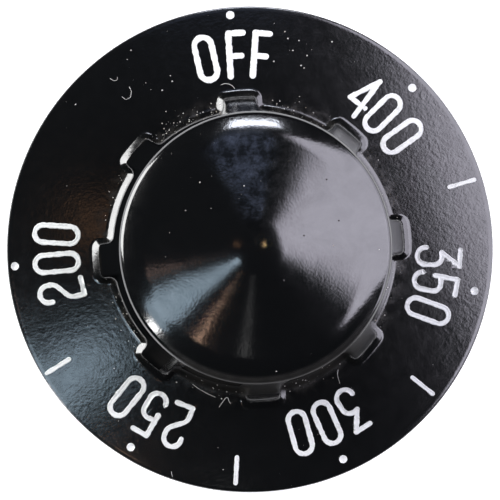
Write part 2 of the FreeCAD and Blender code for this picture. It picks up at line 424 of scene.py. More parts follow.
@dataclass(frozen=True)
class BlackPhenolic(Finish):
    """Compression-moulded black phenolic: glossy, with orange peel and a dusty film in its roots."""

    name: str = "black_phenolic"
    body: str = "#0b0c0d"
    film: str = "#25221e"
    haze: str = "#2c2b29"
    refraction: float = 1.65
    shine: float = 0.85
    # Shares of the shine where a cloth has wiped least and most.
    wiped_shares: tuple[float, float] = (0.9, 1.08)
    rib_count: int = 8
    # Headings of the greasy, the matt and the smudged side.
    dull_side: float = -85.0
    matt_side: float = 175.0
    smudge_side: float = 91.0
    # Roughness that grease, hands and dust add, and the share of its shine that grease takes.
    grease_wear: float = 0.2
    rib_wear: float = 0.27
    dust_wear: float = 0.15
    grease_loss: float = 0.93
    # Widths of the clouded film, the wiping marks and the smudge, in mm.
    cloud_width: float = 1.6
    wipe_width: float = 4.0
    smudge_width: float = 2.7
    # Where dust lies in the root, grease on the rim and the wall, and the smudge on the cone.
    root_radii: Zone = Zone(21.0, 18.6)
    root_heights: Zone = Zone(6.5, 4.0)
    rim_radii: Zone = Zone(15.9, 16.5)
    wall_radii: Zone = Zone(19.6, 18.6)
    smudge_radii: Zone = Zone(14.8, 14.0)
    # Orange peel, slow waves and fine grain of the moulded skin.
    reliefs: tuple[Relief, ...] = (
        Relief(0.6, 0.0095, 0.0015, GRIP_FOOT, 2.0, 0.55),
        Relief(5.0, 0.006, 0.018, GRIP_FOOT),
        Relief(0.3, 0.0015, 0.0035, GRIP_TOP),
    )

    @staticmethod
    def bearings(add: AddNode, place: NodeSocket) -> Bearings:
        """Add the nodes that say where a point lies.

        Args:
            add: Adds a node to the material.
            place: Object coordinates.

        Returns:
            What the masks read.
        """
        apart = add(SEPARATE, {"Vector": place}).outputs
        flat = add(COMBINE, {"X": apart["X"], "Y": apart["Y"]})
        radius = add(VECTOR_MATH, {0: flat}, operation="LENGTH")
        way = add(VECTOR_MATH, {0: flat}, operation="NORMALIZE")
        angle = add(MATH, {0: apart["Y"], 1: apart["X"]}, operation="ARCTAN2")
        return Bearings(place, apart["Z"], radius, way, angle)

    def skin(self, add: AddNode, at: Bearings) -> Node:
        """Lay the reliefs over one another.

        Args:
            add: Adds a node to the material.
            at: Where a point lies.

        Returns:
            The bump that carries them all.
        """
        below: dict[str, Node] = {}
        for relief in self.reliefs:
            pattern = add(NOISE, {
                "Vector": at.place, "Scale": 1 / (relief.width * MM),
                "Detail": relief.detail, "Roughness": relief.roughness,
            })
            depth = add(MAP_RANGE, {
                "Value": at.height, **relief.zone.limits(),
                "To Min": relief.below * MM, "To Max": relief.above * MM,
            })
            below["Normal"] = add(BUMP, {
                "Strength": 1.0, "Distance": depth, "Height": pattern, **below,
            })
        return below["Normal"]

    def dust(self, add: AddNode, at: Bearings, cloud: Node) -> Node:
        """Mask the dusty film in the corner between skirt and grip.

        Args:
            add: Adds a node to the material.
            at: Where a point lies.
            cloud: The clouded pattern.

        Returns:
            The mask.
        """
        near = add(MAP_RANGE, {"Value": at.radius, **self.root_radii.limits()}, **SMOOTH)
        low = add(MAP_RANGE, {"Value": at.height, **self.root_heights.limits()}, **SMOOTH)
        corner = add(MATH, {0: near, 1: low}, operation="MULTIPLY")
        patches = add(MAP_RANGE, {"Value": cloud, "From Min": 0.45, "From Max": 0.72})
        return add(MATH, {0: corner, 1: patches}, operation="MULTIPLY")

    def grease(self, add: AddNode, at: Bearings) -> Node:
        """Mask the greasy rim and wall on the dull side.

        Args:
            add: Adds a node to the material.
            at: Where a point lies.

        Returns:
            The mask.
        """
        lower = add(VECTOR_MATH, {0: at.way, 1: heading(self.dull_side)}, operation="DOT_PRODUCT")
        sector = add(MAP_RANGE, {"Value": lower, "From Min": 0.5, "From Max": 0.85}, **SMOOTH)
        edge = add(MAP_RANGE, {"Value": at.radius, **self.rim_radii.limits()}, **SMOOTH)
        inside = add(MAP_RANGE, {"Value": at.radius, **self.wall_radii.limits()}, **SMOOTH)
        band = add(MATH, {0: edge, 1: inside}, operation="MULTIPLY")
        return add(MATH, {0: band, 1: sector}, operation="MULTIPLY")

    def steep(self, add: AddNode, at: Bearings) -> tuple[Node, Node]:
        """Mask the steep faces that are matt, and those at the right that hands have worn.

        Args:
            add: Adds a node to the material.
            at: Where a point lies.

        Returns:
            The mask of the matt faces and that of the worn ones.
        """
        facing = add(SEPARATE, {"Vector": add("ShaderNodeNewGeometry").outputs["True Normal"]})
        upright = add(MAP_RANGE, {"Value": facing.outputs["Z"], "From Min": 0.35, "From Max": 0.25})
        turns = add(MATH, {0: at.angle, 1: float(self.rib_count)}, operation="MULTIPLY")
        swing = add(MATH, {0: turns}, operation="COSINE")
        wall = add(MAP_RANGE, {"Value": swing, "From Min": 0.5, "From Max": 0.2})
        left = add(VECTOR_MATH, {0: at.way, 1: heading(self.matt_side)}, operation="DOT_PRODUCT")
        backs = add(MAP_RANGE, {"Value": left, "From Min": 0.3, "From Max": 0.6})
        either = add(MATH, {0: wall, 1: backs}, operation="MAXIMUM")
        matt = add(MATH, {0: either, 1: upright}, operation="MULTIPLY")
        glossy = add(MATH, {0: upright, 1: matt}, operation="SUBTRACT", use_clamp=True)
        right = add(MAP_RANGE, {"Value": left, "From Min": -0.2, "From Max": -0.65})
        return matt, add(MATH, {0: glossy, 1: right}, operation="MULTIPLY")

    def smudge(self, add: AddNode, at: Bearings) -> Node:
        """Break up the mirror image where the cone is smudged.

        Args:
            add: Adds a node to the material.
            at: Where a point lies.

        Returns:
            The gain of the shine.
        """
        above = add(VECTOR_MATH, {0: at.way, 1: heading(self.smudge_side)}, operation="DOT_PRODUCT")
        aside = add(MAP_RANGE, {"Value": above, "From Min": 0.88, "From Max": 0.97}, **SMOOTH)
        under = add(MAP_RANGE, {"Value": at.radius, **self.smudge_radii.limits()}, **SMOOTH)
        share = add(MATH, {0: aside, 1: under}, operation="MULTIPLY")
        blots = add(NOISE, {
            "Vector": at.place, "Scale": 1 / (self.smudge_width * MM), "Detail": 6.0, "Roughness": 0.8,
        })
        gain = add(MAP_RANGE, {
            "Value": blots, "From Min": 0.44, "From Max": 0.72, "To Min": 0.4, "To Max": 5.0,
        })
        return add(MIX, {SHARE: share, NUMBER_A: 1.0, NUMBER_B: gain})

    def build(self) -> Material:
        """Make the moulding's material.

        Returns:
            The material.
        """
        material, add, place = self.start()
        at = self.bearings(add, place)
        cloud = add(NOISE, {
            "Vector": place, "Scale": 1 / (self.cloud_width * MM), "Detail": 5.0, "Roughness": 0.65,
        })
        dusty = self.dust(add, at, cloud)
        dull = self.grease(add, at)
        matt, handled = self.steep(add, at)
        streaks = add(MAP_RANGE, {
            "Value": cloud, "From Min": 0.3, "From Max": 0.7, "To Min": 0.5, "To Max": 0.95,
        })
        cover = add(MATH, {0: dull, 1: streaks}, operation="MULTIPLY")
        greasy = add(MIX, {SHARE: cover, COLOUR_A: linear(self.body), COLOUR_B: linear(self.haze)}, **RGBA)
        colour = add(MIX, {SHARE: dusty, COLOUR_A: greasy, COLOUR_B: linear(self.film)}, **RGBA)
        gloss = add(MAP_RANGE, {
            "Value": cloud, "From Min": 0.3, "From Max": 0.75, "To Min": 0.11, "To Max": 0.16,
        })
        polish = add(MAP_RANGE, {
            "Value": at.height, **GRIP_FOOT.limits(), "To Min": 0.0, "To Max": -0.03,
        })
        rough = add(MATH, {0: gloss, 1: polish})
        for mask, wear in ((dull, self.grease_wear), (handled, self.rib_wear), (dusty, self.dust_wear)):
            rough = add(MATH, {0: mask, 1: wear, 2: rough}, operation="MULTIPLY_ADD")
        wipes = add(NOISE, {
            "Vector": place, "Scale": 1 / (self.wipe_width * MM), "Detail": 5.0, "Roughness": 0.7,
            "Distortion": 0.6,
        })
        shine = add(MAP_RANGE, {
            "Value": wipes, "From Min": 0.3, "From Max": 0.7,
            "To Min": self.shine * self.wiped_shares[0], "To Max": self.shine * self.wiped_shares[1],
        })
        smeared = add(MATH, {0: shine, 1: self.smudge(add, at)}, operation="MULTIPLY")
        stain = add(MATH, {0: dull, 1: self.grease_loss}, operation="MULTIPLY")
        poor = add(MATH, {0: matt, 1: stain}, operation="MAXIMUM")
        kept = add(MATH, {0: 1.0, 1: poor}, operation="SUBTRACT")
        gleam = add(MATH, {0: smeared, 1: kept}, operation="MULTIPLY")
        # The plain shine stays on the socket for the export, which drops what feeds it.
        self.coat(material, {"Specular IOR Level": self.shine, "IOR": self.refraction})
        return self.coat(material, {
            "Base Color": colour, "Roughness": rough, "Specular IOR Level": gleam,
            "Normal": self.skin(add, at),
        })


@dataclass(frozen=True)
class ScaleEnamel(Finish):
    """White enamel wiped into the engraved lines, a little uneven and greyed by use."""

    name: str = "scale_paint"
    clean: str = "#f8f9f6"
    worn: str = "#d8d8d2"
    mottle_width: float = 0.5
    mottle_depth: float = 0.01

    def build(self) -> Material:
        """Make the paint's material.

        Returns:
            The material.
        """
        material, add, place = self.start()
        mottle = add(NOISE, {
            "Vector": place, "Scale": 1 / (self.mottle_width * MM), "Detail": 4.0, "Roughness": 0.6,
        })
        wear = add(MAP_RANGE, {"Value": mottle, "From Min": 0.52, "From Max": 0.8})
        colour = add(MIX, {SHARE: wear, COLOUR_A: linear(self.clean), COLOUR_B: linear(self.worn)}, **RGBA)
        relief = add(BUMP, {"Strength": 1.0, "Distance": self.mottle_depth * MM, "Height": mottle})
        return self.coat(material, {"Base Color": colour, "Normal": relief, "Roughness": 0.55})


@dataclass(frozen=True)
class SpringSteel(Finish):
    """Bare rolled spring strip with fine lines along its length."""

    name: str = "spring_steel"
    bright: str = "#b9bab6"
    dull: str = "#8d8c86"
    line_width: float = 0.12

    def build(self) -> Material:
        """Make the strip's material.

        Returns:
            The material.
        """
        material, add, place = self.start()
        drawn = add("ShaderNodeMapping", {"Vector": place, "Scale": (1.0, 0.1, 0.04)})
        lines = add(NOISE, {"Vector": drawn, "Scale": 1 / (self.line_width * MM), "Detail": 3.0})
        colour = add(MIX, {SHARE: lines, COLOUR_A: linear(self.dull), COLOUR_B: linear(self.bright)}, **RGBA)
        rough = add(MAP_RANGE, {"Value": lines, "To Min": 0.22, "To Max": 0.42})
        return self.coat(material, {"Base Color": colour, "Roughness": rough, "Metallic": 1.0})


@dataclass(frozen=True)
class KitchenDust(Finish):
    """Dry kitchen dust and crumbs: matt specks from off-white to brown."""

    name: str = "kitchen_dust"
    pale: str = "#cfccc6"
    brown: str = "#8a7a68"
    patch_width: float = 1.1

    def build(self) -> Material:
        """Make the dust's material.

        Returns:
            The material.
        """
        material, add, place = self.start()
        kinds = add(NOISE, {"Vector": place, "Scale": 1 / (self.patch_width * MM), "Detail": 2.0})
        share = add(MAP_RANGE, {"Value": kinds, "From Min": 0.5, "From Max": 0.72})
        colour = add(MIX, {SHARE: share, COLOUR_A: linear(self.pale), COLOUR_B: linear(self.brown)}, **RGBA)
        return self.coat(material, {"Base Color": colour, "Roughness": 0.9})


@dataclass(frozen=True)
class PaleFloor(Finish):
    """Pale sheet under the knob that looks white to the camera and still takes the shadow."""

    name: str = "pale_floor"
    sheet: str = "#f2f2f2"
    shade: str = "#e8e8e8"
    glow: float = 0.82
    fibre_width: float = 2.0

    def build(self) -> Material:
        """Make the sheet's material.

        Returns:
            The material.
        """
        material, add, place = self.start()
        rays = add("ShaderNodeLightPath").outputs
        seen = rays["Is Camera Ray"]
        for name in ("Is Glossy Ray", "Is Transmission Ray"):
            seen = add(MATH, {0: seen, 1: rays[name]}, operation="MAXIMUM")
        fibre = add(NOISE, {"Vector": place, "Scale": 1 / (self.fibre_width * MM), "Detail": 3.0})
        tone = add(MAP_RANGE, {"Value": fibre, "To Min": 0.97, "To Max": 1.0})
        colour = add(MIX, {SHARE: tone, COLOUR_A: linear(self.shade), COLOUR_B: linear(self.sheet)}, **RGBA)
        light = add(MATH, {0: seen, 1: self.glow}, operation="MULTIPLY")
        return self.coat(material, {
            "Base Color": colour, "Roughness": 0.9, "Specular IOR Level": 0.1,
            "Emission Color": linear("#ffffff"), "Emission Strength": light,
        })


class Span(Enum):
    """Parts of a rib's outline in plan, from its middle to the middle of the wall beside it."""

    BACK = auto()
    CORNER = auto()
    FLANK = auto()
    ROOT = auto()
    WALL = auto()


class OutlinePoint(NamedTuple):
    """A point of the grip's outline in mm, with the angle of its normal from +Y."""

    x: float
    y: float
    facing: float


@dataclass(frozen=True)
class DialForm:
    """Sizes of the moulding in mm, and the curves that follow from them."""

    edge_radius: float = 31.75
    edge_height: float = 2.6
    edge_round: float = 0.22
    edge_inset: float = 0.62
    land_round: float = 0.25
    skirt_slope: float = 5.4
    skirt_start_slope: float = 4.5
    grip_radius: float = 18.2
    grip_foot: float = 3.881
    wall_foot: float = 17.95
    grip_draft: float = 2.99
    rim_radius: float = 17.097
    rim_height: float = 20.231
    rim_round: float = 0.9
    rim_lap: float = 0.05
    shoulder: Corner = Corner(14.697, 21.081, 14.0)
    apex_height: float = 23.352
    apex_flat: float = 1.814
    apex_round: float = 20.73
    cone_fall: float = 0.1763
    rib_count: int = 8
    rib_half: float = 2.15
    rib_corner: float = 0.5
    rib_root: float = 1.1
    rib_foot: tuple[float, float] = (20.0, 3.211)
    rib_top: tuple[float, float] = (17.058, 19.331)
    base_rise: float = 0.6
    base_spread: float = 0.85
    base_fill: float = 0.75
    base_halo: float = 0.3
    chord: float = 0.12
    top_span: float = 1.6
    back_span: float = 3.0
    # Corners of the back: the land, the recess under the skirt, the hollow and the hub.
    back: tuple[Corner, ...] = (
        Corner(30.15, 0.0, 0.15), Corner(30.15, 0.742, 0.2), Corner(15.6, 2.118, 0.35),
        Corner(14.497, 17.831, 0.4), Corner(6.5, 17.831, 0.4), Corner(6.5, 0.8, 0.25), Corner(0.0, 0.8),
    )
    columns: dict[Span, int] = field(default_factory=lambda: {
        Span.BACK: 6, Span.CORNER: 6, Span.FLANK: 2, Span.ROOT: 7, Span.WALL: 10,
    })

    @property
    def skirt_end(self) -> float:
        """Return the radius where the skirt's face gives way to the rounded edge."""
        return self.edge_radius - self.edge_inset

    def skirt_height(self, radius: float) -> float:
        """Follow the skirt's face, which steepens a little outwards.

        Args:
            radius: Radius in mm.

        Returns:
            The height of the face there.
        """
        start = math.tan(math.radians(self.skirt_start_slope))
        gain = 2 * (math.tan(math.radians(self.skirt_slope)) - start)
        width = self.edge_radius - self.grip_radius
        share = (radius - self.grip_radius) / width
        return self.edge_height + width * (start * (1 - share) + gain * (1 - share ** 2) / 2)

    def wall_radius(self, height: float) -> float:
        """Return the radius of the grip's wall at a height."""
        return self.wall_foot - (height - self.grip_foot) * math.tan(math.radians(self.grip_draft))

    def rib_radius(self, height: float) -> float:
        """Return the radius of a rib's back at a height."""
        share = (height - self.rib_foot[1]) / (self.rib_top[1] - self.rib_foot[1])
        return mix(self.rib_foot[0], self.rib_top[0], share)

    @property
    def rib_end(self) -> float:
        """Find where a rib's back meets the wall.

        Returns:
            The height of that place.
        """
        low, high = self.grip_foot, self.rim_height
        for _ in range(HALVINGS):
            middle = (low + high) / 2
            if self.rib_radius(middle) > self.wall_radius(middle):
                low = middle
            else:
                high = middle
        return low

    def cone_height(self, radius: float) -> float:
        """Return the height of the cone on top at a radius."""
        return self.apex_height - max(0.0, radius - self.apex_flat) * self.cone_fall

    def outline(self, height: float) -> list[OutlinePoint]:
        """Trace half a rib and half the wall beside it at a height.

        Args:
            height: Height in mm.

        Returns:
            The points from the middle of the rib's back to the middle of the wall.
        """
        wall = self.wall_radius(height)
        back = max(self.rib_radius(height), wall)
        inner = back - self.rib_corner
        outer = wall + self.rib_root
        corner_angle = math.asin((self.rib_half - self.rib_corner) / inner)
        root_angle = math.asin((self.rib_half + self.rib_root) / outer)
        steepest = math.pi / 2
        if inner * math.cos(corner_angle) < outer * math.cos(root_angle):
            reach = self.rib_corner + self.rib_root
            cosine = (inner ** 2 + outer ** 2 - reach ** 2) / (2 * inner * outer)
            root_angle = corner_angle + math.acos(min(1.0, cosine))
            steepest = math.atan2(
                outer * math.sin(root_angle) - inner * math.sin(corner_angle),
                outer * math.cos(root_angle) - inner * math.cos(corner_angle),
            )
        corner_x, corner_y = inner * math.sin(corner_angle), inner * math.cos(corner_angle)
        root_x, root_y = outer * math.sin(root_angle), outer * math.cos(root_angle)
        limits = {
            Span.BACK: (0.0, 0.0, back, 0.0, corner_angle),
            Span.CORNER: (corner_x, corner_y, self.rib_corner, corner_angle, steepest),
            Span.ROOT: (root_x, root_y, -self.rib_root, steepest, root_angle),
            Span.WALL: (0.0, 0.0, wall, root_angle, math.pi / self.rib_count),
        }
        end_x = root_x - self.rib_root * math.sin(steepest)
        end_y = root_y - self.rib_root * math.cos(steepest)
        points = [OutlinePoint(0.0, back, 0.0)]
        for span, count in self.columns.items():
            start = points[-1]
            for step in range(1, count + 1):
                share = step / count
                if span is Span.FLANK:
                    x, y = mix(start.x, end_x, share), mix(start.y, end_y, share)
                    points.append(OutlinePoint(x, y, steepest))
                    continue
                centre_x, centre_y, radius, first, last = limits[span]
                facing = mix(first, last, share)
                x = centre_x + radius * math.sin(facing)
                y = centre_y + radius * math.cos(facing)
                points.append(OutlinePoint(x, y, facing))
        return points

    def top_path(self) -> list[Spot]:
        """Trace the cone on top from its apex to the wall under the rim.

        Returns:
            Its points as radius and height.
        """
        low = self.rib_top[1] - self.rim_lap
        corners = [
            Corner(0.0, self.apex_height),
            Corner(self.apex_flat, self.apex_height, self.apex_round),
            self.shoulder,
            Corner(self.rim_radius, self.rim_height, self.rim_round),
            Corner(self.wall_radius(low), low),
        ]
        return split_spans(round_path(corners, self.chord), self.top_span)

    def back_path(self) -> list[Spot]:
        """Trace the skirt's edge, the hollow back and the hub, ending on the axis.

        Returns:
            Their points as radius and height.
        """
        corners = [
            Corner(self.skirt_end, self.skirt_height(self.skirt_end)),
            Corner(self.edge_radius, self.edge_height, self.edge_round),
            Corner(self.edge_radius, 0.0, self.land_round),
            *self.back,
        ]
        return split_spans(round_path(corners, self.chord), self.back_span)


@dataclass
class MouldedDial:
    """The moulding: skirt, ribbed grip, cone, hollow back, hub and webs."""

    form: DialForm = field(default_factory=DialForm)
    finish: BlackPhenolic = field(default_factory=BlackPhenolic)
    blend_rows: int = 3
    wall_rows: int = 14
    base_rows: int = 6
    skirt_rows: int = 10
    # How the rows crowd towards the ribs' ends, and how soon the skirt's columns spread evenly.
    row_crowding: float = 1.5
    spread_speed: float = 1.6
    weld: float = 0.002
    crease: float = 24.0
    # The flatted socket, with an odd number of steps that keeps its points off the sectors' seams.
    socket_radius: float = 3.225
    socket_flat: float = 1.635
    socket_steps: int = 47
    socket_heights: tuple[float, float] = (0.5, 13.8)
    slot_half: float = 2.2
    slot_back: float = 3.035
    web_count: int = 4
    web_angle: float = 45.0
    web_half: float = 1.0
    web_radii: tuple[float, float] = (5.4, 15.3)
    web_heights: tuple[float, float] = (5.8, 18.4)

    def circle(self, radius: float, height: float, spread: float) -> list[Place]:
        """Make a row of places on a circle.

        Args:
            radius: Radius in mm.
            height: Height in mm.
            spread: Share of even spacing, against the spacing where the ribs end.

        Returns:
            The places for the columns of half a sector.
        """
        ends = [math.atan2(point.x, point.y) for point in self.form.outline(self.form.rib_end)]
        sector = math.pi / self.form.rib_count
        angles = [mix(end, sector * i / (len(ends) - 1), spread) for i, end in enumerate(ends)]
        return [(radius * math.sin(a), radius * math.cos(a), height) for a in angles]

    def grip_rows(self) -> list[list[Place]]:
        """Make the rows of the ribbed wall, its base rounding and the skirt's face.

        Returns:
            The rows from the ribs' ends outwards, each for the columns of half a sector.
        """
        form = self.form
        top = form.rib_end
        columns: list[list[Place]] = []
        for index in range(len(form.outline(top))):
            foot_height = form.grip_foot
            for _ in range(FOOT_ROUNDS):
                foot = form.outline(foot_height)[index]
                foot_height = form.skirt_height(math.hypot(foot.x, foot.y))
            column: list[Place] = []
            for row in range(self.wall_rows + 1):
                height = mix(top, foot_height + form.base_rise, (row / self.wall_rows) ** self.row_crowding)
                point = form.outline(height)[index]
                column.append((point.x, point.y, height))
            out_x = foot.x + form.base_spread * math.sin(foot.facing)
            out_y = foot.y + form.base_spread * math.cos(foot.facing)
            out = Vector((out_x, out_y, form.skirt_height(math.hypot(out_x, out_y))))
            begin, corner = Vector(column[-1]), Vector((foot.x, foot.y, foot_height))
            middle = corner.lerp(begin.lerp(out, 0.5), form.base_fill)
            for row in range(1, self.base_rows + 1):
                share = row / self.base_rows
                spot = begin.lerp(middle, share).lerp(middle.lerp(out, share), share)
                column.append(tuple(spot))
            angle, radius = math.atan2(out_x, out_y), math.hypot(out_x, out_y)
            even = math.pi / form.rib_count * index / (len(form.outline(top)) - 1)
            first = form.base_halo / (form.skirt_end - radius)
            for share in (first, *(row / self.skirt_rows for row in range(1, self.skirt_rows))):
                place_angle = mix(angle, even, min(1.0, share * self.spread_speed))
                place_radius = mix(radius, form.skirt_end, share)
                column.append((
                    place_radius * math.sin(place_angle),
                    place_radius * math.cos(place_angle),
                    form.skirt_height(place_radius),
                ))
            columns.append(column)
        return [list(row) for row in zip(*columns)]

    def sector(self) -> Object:
        """Make the sector of one rib, from the apex round to the hub.

        Returns:
            The open sector.
        """
        form = self.form
        path = form.top_path()
        rows = [self.circle(spot.x, spot.y, 1.0) for spot in path]
        start = path[-1].y
        for step in range(1, self.blend_rows):
            share = step / self.blend_rows
            height = mix(start, form.rib_end, share)
            rows.append(self.circle(form.wall_radius(height), height, 1 - share))
        rows += self.grip_rows()
        rows += [self.circle(spot.x, spot.y, 1.0) for spot in form.back_path()]
        whole = [[(-x, y, z) for x, y, z in reversed(row[1:])] + row for row in rows]
        width = len(whole[0])
        faces = [
            (row * width + i, row * width + i + 1, (row + 1) * width + i + 1, (row + 1) * width + i)
            for row in range(len(whole) - 1)
            for i in range(width - 1)
        ]
        return new_object("moulded_dial", [place for row in whole for place in row], faces=faces)

    @staticmethod
    def round_tree() -> NodeTree:
        """Build the tree that repeats a sector round the axis and welds the sectors.

        Returns:
            The tree.
        """
        tree, add, given = new_tree("sectors round the axis", {
            "Count": "Int", "Weld": "Float", "Material": "Material",
        })
        marks = add("GeometryNodePoints", {"Count": given["Count"]})
        step = add(MATH, {0: math.tau, 1: given["Count"]}, operation="DIVIDE")
        angle = add(MATH, {0: add("GeometryNodeInputIndex"), 1: step}, operation="MULTIPLY")
        copies = add("GeometryNodeInstanceOnPoints", {
            "Points": marks, "Instance": given["Geometry"], "Rotation": add(COMBINE, {"Z": angle}),
        })
        real = add("GeometryNodeRealizeInstances", {"Geometry": copies})
        welded = add("GeometryNodeMergeByDistance", {"Geometry": real, "Distance": given["Weld"]})
        end_tree(add, add("GeometryNodeSetShadeSmooth", {"Geometry": welded}), given["Material"])
        return tree

    def socket(self) -> Object:
        """Make the body of air in the flatted socket and the spring's slot.

        Returns:
            The closed body.
        """
        radius, flat, half = self.socket_radius, self.socket_flat, self.slot_half
        start = math.asin(flat / radius)
        sweep = math.pi + 2 * start
        angles = [start - sweep * i / self.socket_steps for i in range(self.socket_steps + 1)]
        outline = [Spot(radius * math.cos(a), radius * math.sin(a)) for a in angles]
        outline += [Spot(-half, flat), Spot(-half, self.slot_back)]
        outline += [Spot(half, self.slot_back), Spot(half, flat)]
        return prism("socket_air", outline, *self.socket_heights)

    def web(self, index: int) -> Object:
        """Make one of the webs from the hub to the grip's wall.

        Args:
            index: Which web, counted round the axis.

        Returns:
            The closed body.
        """
        turn = Matrix.Rotation(math.radians(self.web_angle + 360 / self.web_count * index), 2)
        (near, far), half = self.web_radii, self.web_half
        corners = ((near, -half), (far, -half), (far, half), (near, half))
        return prism("web", [Spot(*(turn @ Vector(spot))) for spot in corners], *self.web_heights)

    def build(self) -> Object:
        """Make the moulding without its engraving.

        Returns:
            The moulding.
        """
        obj = self.sector()
        black = self.finish.build()
        grow(obj, self.round_tree(), {
            "Count": self.form.rib_count, "Weld": self.weld * MM, "Material": black,
        })
        face_outwards(obj)
        carve(obj, self.socket(), "DIFFERENCE")
        for index in range(self.web_count):
            carve(obj, self.web(index), "UNION")
        obj.data.materials.clear()
        obj.data.materials.append(black)
        return obj

    def dress(self, obj: Object) -> None:
        """Shade the moulding smooth with crisp real edges, and hand it to the frame.

        Args:
            obj: The moulding.
        """
        obj.data.set_sharp_from_angle(angle=math.radians(self.crease))
        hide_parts("dial_body")
        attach(obj, "root")


class Layer(Enum):
    """Cuts of the engraving tool, in order. Strokes of one layer never cross."""

    FIRST = auto()
    SECOND = auto()
    THIRD = auto()


class Stroke(NamedTuple):
    """One line of a character, in half widths and half heights, with radii in mm."""

    corners: tuple[Corner, ...]
    layer: Layer = Layer.FIRST
    closed: bool = False


# Radius of the round corners of the signs in mm, and the loop of a nought.
ROUND = 1.12
LOOP = Stroke((
    Corner(-1, -1, ROUND), Corner(1, -1, ROUND), Corner(1, 1, ROUND), Corner(-1, 1, ROUND),
), closed=True)
GLYPHS: dict[str, tuple[Stroke, ...]] = {
    "0": (LOOP,),
    "O": (LOOP,),
    "F": (
        Stroke((Corner(-0.84, -1), Corner(-0.84, 1))),
        Stroke((Corner(-0.84, 1), Corner(0.84, 1)), Layer.SECOND),
        Stroke((Corner(-0.84, -0.06), Corner(0.52, -0.06)), Layer.SECOND),
    ),
    "2": (
        Stroke((
            Corner(-1, 0.5), Corner(-1, 1, ROUND), Corner(1, 1, ROUND), Corner(1, 0.25, 1.3),
            Corner(-0.95, -0.35, 1.3), Corner(-0.95, -1),
        )),
        Stroke((Corner(-0.95, -1), Corner(1, -1)), Layer.SECOND),
    ),
    "3": (
        Stroke((Corner(-0.88, 1), Corner(1, 1))),
        Stroke((Corner(1, 1), Corner(-0.5, 0.13)), Layer.SECOND),
        Stroke((
            Corner(-0.5, 0.13), Corner(1, 0.24, 1.1), Corner(1, -1, ROUND), Corner(-1, -1, ROUND),
            Corner(-1, -0.6),
        )),
    ),
    "4": (
        Stroke((Corner(0.62, 1), Corner(-1.08, -0.4))),
        Stroke((Corner(0.62, 1), Corner(0.62, -1)), Layer.SECOND),
        Stroke((Corner(-1.08, -0.4), Corner(1.08, -0.4)), Layer.THIRD),
    ),
    "5": (
        Stroke((Corner(0.95, 1), Corner(-0.85, 1))),
        Stroke((Corner(-0.85, 1), Corner(-0.85, -0.08)), Layer.SECOND),
        Stroke((
            Corner(-0.85, 0.2), Corner(1, 0.32, 1.0), Corner(1, -1, ROUND), Corner(-1, -1, ROUND),
            Corner(-1, -0.62),
        )),
    ),
}


@dataclass(frozen=True)
class Tool:
    """Ball-nosed engraving tool in mm: its radius, and how far its centre stays above the skirt."""

    radius: float
    lift: float


# A swept line: its places in mm, the tool, and whether the line closes.
Sweep = tuple[list[Place], Tool, bool]
# Step along a sweep, sides round it, and the width of its welds and of its unevenness, in mm.
TUBE_STEP = 0.1
TUBE_SIDES = 14
TUBE_WELD = 0.001
RAGGED_WIDTH = 0.7


class Label(NamedTuple):
    """A label of the scale: radius of its middle in mm, angles of its signs, and its dot."""

    text: str
    radius: float
    angles: tuple[float, float, float]
    dot_angle: float
    dot_radius: float


